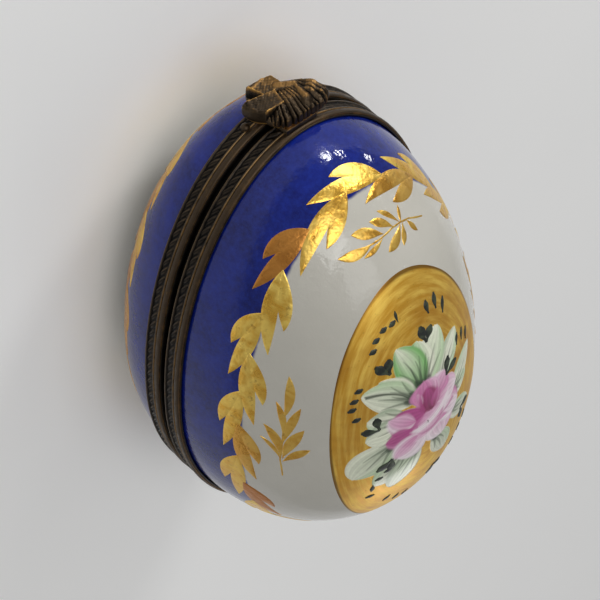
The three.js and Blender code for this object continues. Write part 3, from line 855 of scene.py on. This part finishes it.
def paint_rose(painting):
    pale, blush = shade(238, 224, 230), shade(226, 184, 208)
    pink, magenta = shade(208, 136, 178), shade(178, 78, 138)
    wine, heart = shade(142, 44, 92), shade(112, 30, 66)
    petals = [
        ((-4.0, -3.4), (4.6, -4.2), 3.0, 0.0, (blush, pink, blush, pink)),
        ((0.6, -3.2), (4.6, 1.2), 2.7, 0.3, (blush, pale, pale, blush)),
        ((-1.0, -3.0), (-2.6, 1.6), 2.6, 0.2, (pink, pale, blush, pale)),
        ((-1.6, -4.2), (-6.0, -2.2), 2.5, -0.3, (blush, pale, pink, pale)),
        ((-1.6, -5.2), (-5.6, -5.6), 2.2, 0.4, (pink, pale, blush, pale)),
        ((-1.2, -5.8), (-3.6, -9.2), 2.1, 0.3, (magenta, blush, pale, pink)),
        ((0.4, -5.6), (0.2, -10.2), 2.5, -0.2, (magenta, pink, pink, blush)),
        ((0.2, -5.0), (5.2, -3.6), 2.7, -0.5, (magenta, magenta, pink, magenta)),
        ((0.6, -3.6), (4.2, -1.4), 1.6, 0.6, (pink, magenta, magenta, pink)),
        ((-3.6, -1.4), (2.4, -0.6), 1.5, -0.8, (pink, blush, pale, pink)),
    ]
    for root, tip, half_width, bend, colours in petals:
        painting.petal(root, tip, half_width, colours, bend, fullest=0.6, soft=0.3)
    painting.petal((2.0, -4.4), (5.6, -6.6), 1.6, (pink, blush, pale, blush), 0.4, 0.5, 0.4, 0.95)
    painting.petal((2.4, -3.2), (6.2, -2.6), 1.7, (magenta, magenta, pink, magenta), 0.3, 0.5, 0.35, 0.95)
    painting.petal((1.6, -1.6), (5.0, 1.0), 1.5, (pink, blush, blush, pale), -0.4, 0.5, 0.35, 0.9)
    painting.petal((-3.9, -5.6), (2.6, -2.8), 1.25, (pale, pale, pale, blush), 1.4, 0.5, 0.45, 1.0)
    painting.petal((-2.8, -3.4), (1.6, -1.9), 0.8, (pink, blush, magenta, pale), 0.7, 0.5, 0.3, 0.8)
    painting.petal((-0.8, -4.7), (-0.2, -8.8), 1.7, (heart, magenta, wine, wine), 0.0, 0.42, 0.4, 0.95)
    painting.petal((-1.1, -4.9), (-2.0, -7.6), 0.75, (wine, pink, magenta, pink), 0.1, 0.5, 0.2, 0.85)
    painting.petal((0.8, -6.6), (1.4, -8.8), 0.6, (magenta, blush, pink, blush), 0.1, 0.5, 0.2, 0.6)
    for root, tip, bend in (((0.6, -5.2), (0.8, -9.4), 0.3), ((-1.4, -6.0), (-1.9, -8.9), -0.2),
                            ((1.6, -3.2), (4.6, -2.7), -0.4), ((-4.9, -3.4), (-1.6, -2.4), 0.3)):
        painting.line(root, tip, 0.3, magenta, bend, 0.55)


def medallion():
    """The gold oval with its bouquet, a thin layer on the lid that carries its colours in its vertices."""
    around, rings = 620, 96
    angles = np.linspace(0, 2 * math.pi, around, endpoint=False)
    wobble = 1 + 0.005 * np.sin(3 * angles + 0.6) + 0.003 * np.sin(7 * angles)
    shares = np.linspace(0, 1, rings + 1)[1:]
    x = OVAL_CENTRE[0] + OVAL_HALF[0] * shares[:, None] * np.cos(angles) * wobble
    y = OVAL_CENTRE[1] + OVAL_HALF[1] * shares[:, None] * np.sin(angles) * wobble
    places = np.concatenate([np.stack([x, y], axis=-1).reshape(-1, 2), [OVAL_CENTRE]])
    painting = Painting(places)
    paint_leaves(painting)
    paint_rose(painting)
    points = LID.over(places[:, 0], places[:, 1])
    height = GILT_LIFT + 0.025 * painting.cover
    height[(rings - 1) * around:rings * around] = SUNK
    points = points + LID.normal(points) * height[:, None]
    hub = len(points) - 1
    faces = grid_faces(rings, around, closed_columns=True)
    faces += [[hub, i, (i + 1) % around] for i in range(around)]
    piece = mesh_object("lid_medallion", points, faces)
    mesh = piece.data
    colours = np.column_stack([painting.colour, np.ones(len(points))])
    mesh.attributes.new("paint", "FLOAT_COLOR", "POINT").data.foreach_set("color", colours.ravel())
    mesh.attributes.new("cover", "FLOAT", "POINT").data.foreach_set("value", painting.cover)
    return finish_piece(piece, [MEDALLION], "lid")


# ---------------------------------------------------------------- bands

def ring_piece(name, section, side, material, body, node, steps=384):
    """A smooth ring round the rim with the given closed section of offsets and distances from the seam."""
    bearings, _, _ = even_bearings(steps)
    columns = []
    for offset, z in section:
        columns.append(np.column_stack([rim_point(bearings, offset), np.full(steps, side * z)]))
    points = np.stack(columns, axis=1)
    piece = mesh_object(name, points.reshape(-1, 3), grid_faces(steps, len(section), 0, True, True))
    face_outwards(piece)
    store_wear(piece)
    # Bands set back behind the trim get the groove between them painted black, as patina and painted shade
    if max(offset for offset, _ in section) < TRIM_BACK:
        blacken_groove_patina_and_shade(piece)
    return finish_piece(piece, [material], body, [node])


def blacken_groove_patina_and_shade(piece):
    """The groove between the bands is painted black: partly patina that no hand rubs off there, and partly painted
    shade for the shadow in the gap.
    """
    places = np.empty(len(piece.data.vertices) * 3)
    piece.data.vertices.foreach_get("co", places)
    places = (places.reshape(-1, 3) - EGG_ORIGIN) / MM
    outline = np.hypot(places[:, 0] / HALF_WIDTH, places[:, 1] / lengths_along(places[:, 1]))
    outside_groove = np.maximum(smoothstep(outline, 0.99, 1.008), 1 - smoothstep(outline, 0.962, 0.972))
    wear = piece.data.attributes["wear"].data
    rubbed = np.empty(len(wear))
    wear.foreach_get("value", rubbed)
    wear.foreach_set("value", rubbed * outside_groove)


def rounded(corners, radius=0.07, steps=3):
    """A closed section with its corners rounded."""
    outline = []
    corners = [np.array(c, float) for c in corners]
    for i, corner in enumerate(corners):
        before = corners[i - 1] - corner
        after = corners[(i + 1) % len(corners)] - corner
        reach = min(radius, 0.45 * np.linalg.norm(before), 0.45 * np.linalg.norm(after))
        start = corner + before / np.linalg.norm(before) * reach
        end = corner + after / np.linalg.norm(after) * reach
        for share in np.linspace(0, 1, steps + 1):
            outline.append((1 - share) ** 2 * start + 2 * share * (1 - share) * corner + share ** 2 * end)
    return [tuple(point) for point in outline]


BEZEL_SECTION = rounded([
    (SEAT_BACK, SEAM_GAP), (SEAT_FACE, SEAM_GAP), (SEAT_FACE, GROOVE_HALF), (BAND_FACE, GROOVE_HALF),
    (BAND_FACE, BAND_TOP), (BAND_GAP, BAND_TOP), (BAND_GAP, SEAT_TOP), (SEAT_BACK, SEAT_TOP),
], radius=0.1)
COLLAR_SECTION = rounded([(-3.1, -2.0), (-2.65, -2.0), (-2.65, 1.4), (-3.1, 1.4)], radius=0.16)


def bead_section(start):
    """A half-round wire standing on the band."""
    section = []
    for angle in np.linspace(0, math.pi, 13):
        along = start + BEAD_WIDTH * (1 - math.cos(angle)) / 2
        section.append((TRIM_BACK + BEAD_HEIGHT * math.sin(angle) ** 0.8, along))
    section[0], section[-1] = (TRIM_BACK, start), (TRIM_BACK, start + BEAD_WIDTH)
    return section


def chased_height(marks, across, slant):
    """Relief of the chased strip: slanted leaf marks between two plain rails. across runs from -1 to 1."""
    leaning = marks + slant * across
    number = np.floor(leaning + 0.5)
    drift = leaning - number + 0.06 * np.sin(math.pi * across * slant)
    vary = 0.82 + 0.18 * np.sin(number * 2.3) * np.cos(number * 5.1)
    mark = 0.8 * np.sqrt(np.clip(1 - (drift / 0.36) ** 2 - (across / 0.6) ** 2, 0, 1)) * vary
    crease = 0.4 * np.exp(-((drift - 0.1) / 0.06) ** 2) * (mark > 0.3)
    rail = 0.42 + 0.3 * smoothstep(np.abs(across), 0.66, 0.74)
    rail = rail - 0.42 * (1 - smoothstep(np.abs(across), 0.60, 0.68))
    return np.maximum(0.05, np.maximum(mark - crease, rail))


def chased_piece(name, start, side, body, node):
    per_mark, rows = 12, 23
    steps = CHASED_MARKS * per_mark
    bearings, _, _ = even_bearings(steps)
    marks = np.arange(steps) / per_mark
    across = np.linspace(-1, 1, rows)
    relief = RELIEF * chased_height(marks[:, None], across[None, :], SLANT * side)
    relief[:, 0] = relief[:, -1] = 0.06
    end = start + CHASED_WIDTH
    heights = [start] + [start + CHASED_WIDTH * (place + 1) / 2 for place in across] + [end]
    offsets = [np.zeros(steps)] + list(relief.T) + [np.zeros(steps)]
    columns = [np.column_stack([rim_point(bearings, TRIM_BACK + offset), np.full(steps, side * height)])
               for offset, height in zip(offsets, heights)]
    points = np.stack(columns, axis=1)
    piece = mesh_object(name, points.reshape(-1, 3), grid_faces(steps, rows + 2, 0, True, True))
    face_outwards(piece)
    store_wear(piece, gain=3.0, middle=0.3)
    return finish_piece(piece, [DARK_BRONZE], body, [node])


def bands():
    first = GROOVE_HALF + TRIM_GAP
    for body, side in (("base", -1), ("lid", 1)):
        ring_piece(f"{body}_band", BEZEL_SECTION, side, DARK_BRONZE, body, f"{body}_bezel")
    after_bead = first + BEAD_WIDTH + TRIM_GAP
    after_chasing = first + CHASED_WIDTH + TRIM_GAP
    ring_piece("base_bead_wire", bead_section(first), -1, BEAD_BRONZE, "base", "base_bead")
    chased_piece("base_chasing", after_bead, -1, "base", "base_rope")
    chased_piece("lid_chasing", first, 1, "lid", "lid_rope")
    ring_piece("lid_bead_wire", bead_section(after_chasing), 1, BEAD_BRONZE, "lid",
               "lid_bead")
    ring_piece("base_inner_lip", COLLAR_SECTION, 1, DARK_BRONZE, "base", "base_collar")


# ---------------------------------------------------------------- hinge and clasp fittings

def refined_copy(node, name, material, body, bevel=0.09):
    """A CAD fitting with its edges softened, as a casting has them."""
    source = frame["nodes"][node]
    mesh = source.data.copy()
    mesh.name = name
    mesh.materials.clear()
    piece = bpy.data.objects.new(name, mesh)
    bpy.context.scene.collection.objects.link(piece)
    work = bmesh.new()
    work.from_mesh(mesh)
    bmesh.ops.remove_doubles(work, verts=work.verts, dist=MERGE_DISTANCE)
    bmesh.ops.dissolve_limit(work, angle_limit=math.radians(1), verts=work.verts, edges=work.edges)
    sharp = [e for e in work.edges if e.is_manifold and e.calc_face_angle(0) > math.radians(35)]
    bmesh.ops.bevel(work, geom=sharp, offset=bevel * MM, segments=3, profile=0.5, affect="EDGES",
                    clamp_overlap=True)
    bmesh.ops.triangulate(work, faces=[f for f in work.faces if len(f.verts) > 4])
    bmesh.ops.recalc_face_normals(work, faces=work.faces)
    work.to_mesh(mesh)
    work.free()
    mesh.polygons.foreach_set("use_smooth", [True] * len(mesh.polygons))
    mesh.set_sharp_from_angle(angle=math.radians(40))
    store_wear(piece, gain=1.6, middle=0.32)
    return finish_piece(piece, [material], body, [node])


def turned_piece(name, profile, centre, axis, material, body, node, steps=40):
    """A lathe-turned fitting. profile is a list of radii and distances along the axis, in millimetres."""
    axis = Vector(axis).normalized()
    side = axis.orthogonal().normalized()
    other = axis.cross(side)
    centre = np.array(centre)
    points = []
    for radius, along in profile:
        for i in range(steps):
            angle = 2 * math.pi * i / steps
            out = math.cos(angle) * np.array(side) + math.sin(angle) * np.array(other)
            points.append(centre + radius * out + along * np.array(axis))
    closed = profile[0][0] > 0
    piece = mesh_object(name, points, grid_faces(len(profile), steps, 0, closed, True))
    face_outwards(piece)
    store_wear(piece, gain=1.6, middle=0.3)
    return finish_piece(piece, [material], body, [node])


def node_centre(node):
    low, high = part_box(node)
    return (np.array(low + high) / 2 - EGG_ORIGIN) / MM, (np.array(high - low)) / MM


BARRELS = (("base_knuckle_left", "base"), ("lid_knuckle", "lid"), ("base_knuckle_right", "base"))
BARREL_BORE = 0.55
BARREL_EDGE = 0.14
PIN_RADIUS, PIN_HEAD_RADIUS = 0.5, 0.8
PIN_HEAD_LENGTH = 0.35


def pin_profile(half):
    """A plain pin with each end peened over into a low head. half is half of its length."""
    neck = half - PIN_HEAD_LENGTH
    upper = [(PIN_RADIUS, neck), (PIN_HEAD_RADIUS, neck), (0.84, neck + 0.08), (0.7, half - 0.12),
             (0.35, half), (0.0, half)]
    lower = [(radius, -along) for radius, along in reversed(upper)]
    return lower + [(PIN_RADIUS, 0.0)] + upper


def hinge():
    for node, body in BARRELS:
        centre, size = node_centre(node)
        half, outer = size[0] / 2, size[2] / 2
        corners = [(BARREL_BORE, -half), (outer, -half), (outer, half), (BARREL_BORE, half)]
        profile = rounded(corners, BARREL_EDGE)
        turned_piece(f"{node}_barrel", profile, centre, (1, 0, 0), WORN_BRONZE, body, node)
    centre, size = node_centre("hinge_pin")
    turned_piece("hinge_pin_peened", pin_profile(size[0] / 2), centre, (1, 0, 0), WORN_BRONZE, "base",
                 "hinge_pin")
    refined_copy("base_hinge_leaf", "base_hinge_plate", DARK_BRONZE, "base")
    refined_copy("lid_hinge_leaf", "lid_hinge_plate", DARK_BRONZE, "lid")


def dome_profile(radius, height, steps=9):
    angles = [math.pi / 2 * i / steps for i in range(steps + 1)]
    return [(radius * math.sin(a), height * math.cos(a)) for a in angles] + [(0.0, 0.0)]


STOP_BEAD_BEARING = 0.21
STOP_BEAD_OFFSET = 0.85  # how far its foot stands out from the rim's outline


def clasp_fittings():
    refined_copy("clasp_tongue", "clasp_spring_tongue", DARK_BRONZE, "lid", bevel=0.07)
    low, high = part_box("catch_nub")
    centre = np.array([(low.x + high.x) / 2, high.y, (low.z + high.z) / 2])
    radius, height = (high.z - low.z) / 2 / MM, (high.y - low.y) / MM
    turned_piece("catch_nub_dome", dome_profile(radius, height), (centre - EGG_ORIGIN) / MM, (0, -1, 0),
                 WORN_BRONZE, "base", "catch_nub")
    low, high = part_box("stop_bead")
    bearing = np.array(STOP_BEAD_BEARING)
    place = rim_point(bearing, STOP_BEAD_OFFSET)
    outward = place - rim_point(bearing, 0.0)
    radius = (high.z - low.z) / 2 / MM
    height = ((low.z + high.z) / 2 - EGG_ORIGIN[2]) / MM
    turned_piece("stop_bead_dome", dome_profile(radius, radius), (*place, height), (*outward, 0),
                 BEAD_BRONZE, "base", "stop_bead")


# ---------------------------------------------------------------- the cast bow

# The bow is modelled as a relief over (across, along): along is the distance from the seam, positive on the
# lid's side. Its outline is given round from the end of the broad ribbon, by way of the ribbon beside it.
BOW_CENTRE = np.array([-0.2, -0.3])
BOW_OUTLINE = [
    (-0.75, -3.3), (0.9, -3.9), (2.6, -4.1), (3.0, -2.9), (4.75, -2.3), (4.55, -0.9),
    (3.55, 0.5), (3.2, 1.7), (2.2, 2.8), (0.5, 3.1), (-1.5, 3.1), (-3.4, 3.05),
    (-4.7, 2.6), (-5.0, 1.5), (-4.3, 0.2), (-3.1, -0.9), (-1.9, -1.9), (-1.0, -2.5),
]
BOW_FOLDS = 10
FOLD_FAN = (-0.8, -5.0)  # the folds of the gathered cloth spread from here
FAN_SPAN = 0.94
# The worn ridges round the knot: each one's start, end and height
KNOT_RIDGES = (((-0.2, -1.9), (-2.0, -0.7), 2.78), ((-2.0, -0.7), (-1.7, 1.7), 2.66))


def soft_bump(x, z, place, radius):
    return np.exp(-((x - place[0]) ** 2 + (z - place[1]) ** 2) / radius ** 2)


def ribbon_top(x, z, root, end, half_width, heights, tilt=0.0, dish=0.22, lip=0.14):
    """Height of a flared ribbon, dished between raised edges, with a rolled lip. It is low outside."""
    root, span = np.array(root, float), np.array(end, float) - root
    length = math.hypot(*span)
    way = span / length
    share = ((x - root[0]) * way[0] + (z - root[1]) * way[1]) / length
    flared = half_width * (0.8 + 0.2 * np.clip(share, 0, 1))
    turn = ((z - root[1]) * way[0] - (x - root[0]) * way[1]) / flared
    top = heights[0] + (heights[1] - heights[0]) * share + tilt * turn
    top = top + dish * (np.clip(np.abs(turn), 0, 1) ** 3 - 0.6) + lip * np.exp(-((share - 0.9) / 0.08) ** 2)
    edge = smoothstep(1 - np.abs(turn), -0.02, 0.10) * smoothstep(share, -0.15, 0.05)
    return top * edge


def fold_relief(x, z):
    """Rounded folds with sharp creases between them: 1 on a fold's crest and 0 in a crease."""
    fan = (x - FOLD_FAN[0]) / np.maximum(z - FOLD_FAN[1], 0.5)
    wander = 0.25 * np.sin(9 * fan + 0.6) + 0.12 * np.sin(31 * fan)
    return np.abs(np.sin(math.pi * (BOW_FOLDS * fan / FAN_SPAN + wander))) ** 0.6


def beside_ribbon(x, z):
    """1 on the side of the casting that the lower ribbon covers, where no folds show."""
    return smoothstep(x - 0.9 * z, 0.9, 2.2)


def bow_top(x, z):
    """Height of the casting over its flat back."""
    folds = fold_relief(x, z)
    gathered = 2.42 - 0.9 * smoothstep(z, 0.6, 3.2) - 0.25 * smoothstep(np.abs(x + 0.6), 2.2, 4.6)
    gathered = gathered - (0.16 + 0.22 * smoothstep(z, 0.4, 2.6)) * (1 - folds) * smoothstep(z, -1.6, -0.9)
    gathered = gathered - 0.5 * smoothstep(-z, 0.4, 2.6) - 1.0 * beside_ribbon(x, z)
    broad = ribbon_top(x, z, (0.35, -1.3), (0.95, -3.9), 1.65, (2.45, 2.62), tilt=-0.26)
    lower = ribbon_top(x, z, (0.6, -0.1), (4.6, -1.0), 1.6, (2.62, 2.08), tilt=0.02)
    top = np.maximum(np.maximum(gathered, broad), lower)
    for start, end, height in KNOT_RIDGES:
        start, end = np.array(start), np.array(end)
        span = end - start
        share = np.clip(((x - start[0]) * span[0] + (z - start[1]) * span[1]) / (span @ span), 0, 1)
        gap = np.hypot(x - start[0] - share * span[0], z - start[1] - share * span[1])
        top = np.maximum(top, height - 1.1 * gap ** 1.5)
    # the small loops on the far side
    top = top + 0.42 * soft_bump(x, z, (-3.7, 0.7), 0.75) + 0.5 * soft_bump(x, z, (-4.1, 2.2), 0.7)
    top = top + 0.22 * soft_bump(x, z, (-2.9, 1.6), 0.5) - 0.3 * soft_bump(x, z, (-2.7, 0.1), 0.5)
    chased = 0.035 * np.sin(5.1 * x + 2.0 * z) * np.sin(4.3 * z - 1.7 * x)
    chased = chased + 0.02 * np.sin(11 * x) * np.sin(13 * z)
    return np.clip(top + chased, 0.4, 2.86)


def bow_relief(around=560, rings=84, wall_rows=22):
    """Points and faces of the bow: rings over its top, then a pleated wall down to its flat back."""
    outline = np.array(BOW_OUTLINE) - BOW_CENTRE
    bearings = np.unwrap(np.arctan2(outline[:, 1], outline[:, 0]))
    bearings, lengths = np.append(bearings, bearings[0] + 2 * math.pi), np.hypot(*outline.T)
    lengths = np.append(lengths, lengths[0])
    angles = bearings[0] + np.linspace(0, 2 * math.pi, around, endpoint=False)
    reach = np.interp(angles, bearings, lengths)
    for _ in range(5):
        reach = 0.5 * reach + 0.25 * (np.roll(reach, 1) + np.roll(reach, -1))
    circle = np.column_stack([np.cos(angles), np.sin(angles)])
    rim = BOW_CENTRE + circle * reach[:, None]
    gathered = smoothstep(rim[:, 1], -0.4, 0.9) + 0.35 * smoothstep(-rim[:, 1], -0.4, 0.6)
    gathered = gathered * (1 - beside_ribbon(rim[:, 0], rim[:, 1]))
    crease = 0.13 * (1 - fold_relief(rim[:, 0], rim[:, 1])) * gathered
    rows = []
    for share in np.linspace(0, 1, rings + 1)[1:]:
        plan = BOW_CENTRE + circle * (reach * share * (1 - crease * share ** 6))[:, None]
        height = bow_top(plan[:, 0], plan[:, 1]) * (1 - 0.10 * smoothstep(share, 0.94, 1.0))
        rows.append(np.column_stack([plan, height]))
    edge = rows[-1]
    for share in np.linspace(0, 1, wall_rows + 1)[1:]:
        sag = 1 + 0.02 * math.sin(math.pi * share) - 0.05 * share ** 4
        plan = BOW_CENTRE + (edge[:, :2] - BOW_CENTRE) * sag
        rows.append(np.column_stack([plan, edge[:, 2] * (1 - share)]))
    hub_height = bow_top(*BOW_CENTRE)
    points = np.concatenate(rows + [[[*BOW_CENTRE, hub_height]], [[*BOW_CENTRE, 0.0]]])
    faces = grid_faces(len(rows), around, closed_columns=True)
    hub, back, last = len(points) - 2, len(points) - 1, (len(rows) - 1) * around
    faces += [[hub, i, (i + 1) % around] for i in range(around)]
    faces += [[back, last + (i + 1) % around, last + i] for i in range(around)]
    return points, faces


def clasp_bow():
    modelled, faces = bow_relief()
    low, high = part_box("clasp_bow")
    back = (high.y - EGG_ORIGIN[1]) / MM
    points = np.column_stack([modelled[:, 0], back - modelled[:, 2], modelled[:, 1]])
    smallest, largest = [(np.array(corner) - EGG_ORIGIN) / MM for corner in (low, high)]
    points = np.clip(points, smallest, largest)
    piece = mesh_object("clasp_cast_bow", points, faces)
    face_outwards(piece)
    store_wear(piece, gain=2.6, middle=0.3, passes=6, rubbed=0.3 * smoothstep(modelled[:, 2], 2.1, 2.6))
    return finish_piece(piece, [WORN_BRONZE], "lid", ["clasp_bow"])


# ---------------------------------------------------------------- camera, light and floor

CAMERA_DISTANCE = 0.3275
VIEW_BACK = Vector((0.4212, -0.7589, 0.4966))
VIEW_UP = Vector((-0.5091, -0.651, -0.563))
LENS_MM = 150.6
SHIFT = (0.0162, 0.0319)


# Towards the small windows whose glints fall on the cobalt beside the clasp
GLINT_NEAR = (-0.40, -0.91, 0.04)
GLINT_FAR = (-0.62, -0.78, 0.05)


def add_camera():
    data = bpy.data.cameras.new("camera")
    data.sensor_width = 36
    data.lens = LENS_MM
    data.shift_x, data.shift_y = SHIFT
    data.clip_start = 0.01
    camera = bpy.data.objects.new("camera", data)
    back = VIEW_BACK.normalized()
    right = VIEW_UP.cross(back).normalized()
    up = back.cross(right)
    place = Vector(EGG_ORIGIN) + back * CAMERA_DISTANCE
    turn = Matrix((right, up, back)).transposed().to_4x4()
    camera.matrix_world = Matrix.Translation(place) @ turn
    bpy.context.scene.collection.objects.link(camera)
    bpy.context.scene.camera = camera


def add_softbox(name, direction, distance, size, power):
    data = bpy.data.lights.new(name, "AREA")
    data.shape = "RECTANGLE"
    data.size, data.size_y = size
    data.energy = power
    light = bpy.data.objects.new(name, data)
    towards = Vector(direction).normalized()
    target = Vector(EGG_ORIGIN)
    light.matrix_world = Matrix.Translation(target + towards * distance) @ \
        towards.to_track_quat("Z", "Y").to_matrix().to_4x4()
    bpy.context.scene.collection.objects.link(light)


def add_lights():
    # Small windows give the broken glints on the blue, and larger softboxes light the gold and white
    add_softbox("glint_near", GLINT_NEAR, 0.7, (0.10, 0.05), 0.85)
    add_softbox("glint_far", GLINT_FAR, 0.7, (0.05, 0.04), 0.4)
    add_softbox("glint_side", (-0.91, -0.42, 0.06), 0.7, (0.03, 0.04), 0.12)
    add_softbox("gold_key", (-0.51, -0.76, 0.39), 0.7, (0.14, 0.10), 0.9)
    add_softbox("high", (0.30, -0.60, 0.74), 0.8, (0.34, 0.30), 1.2)
    add_softbox("overhead", (0.06, -0.38, 0.92), 0.9, (0.45, 0.45), 1.1)
    add_softbox("broad_end", (-0.22, 0.96, 0.30), 0.9, (0.30, 0.20), 0.45)
    world = bpy.data.worlds.new("studio")
    world.use_nodes = True
    background = next(n for n in world.node_tree.nodes if n.type == "BACKGROUND")
    background.inputs["Color"].default_value = (1.0, 1.0, 1.0, 1.0)
    background.inputs["Strength"].default_value = 0.31
    bpy.context.scene.world = world


def add_floor():
    half = 3000.0
    ground = -EGG_ORIGIN[2] / MM
    corners = [(-half, -half, ground), (half, -half, ground), (half, half, ground), (-half, half, ground)]
    floor = mesh_object("floor", corners, [[0, 1, 2, 3]])
    floor.data.materials.append(pale_floor())


add_camera()
add_lights()
add_floor()
porcelain_shell("porcelain_lid_shell", LID, LID_GLAZE, "lid")
porcelain_shell("porcelain_base_shell", BASE, BASE_GLAZE, "base")
lid_gilding()
base_gilding()
medallion()
enamel_strokes()
bands()
hinge()
clasp_fittings()
clasp_bow()
bpy.context.scene.view_settings.view_transform = "Standard"

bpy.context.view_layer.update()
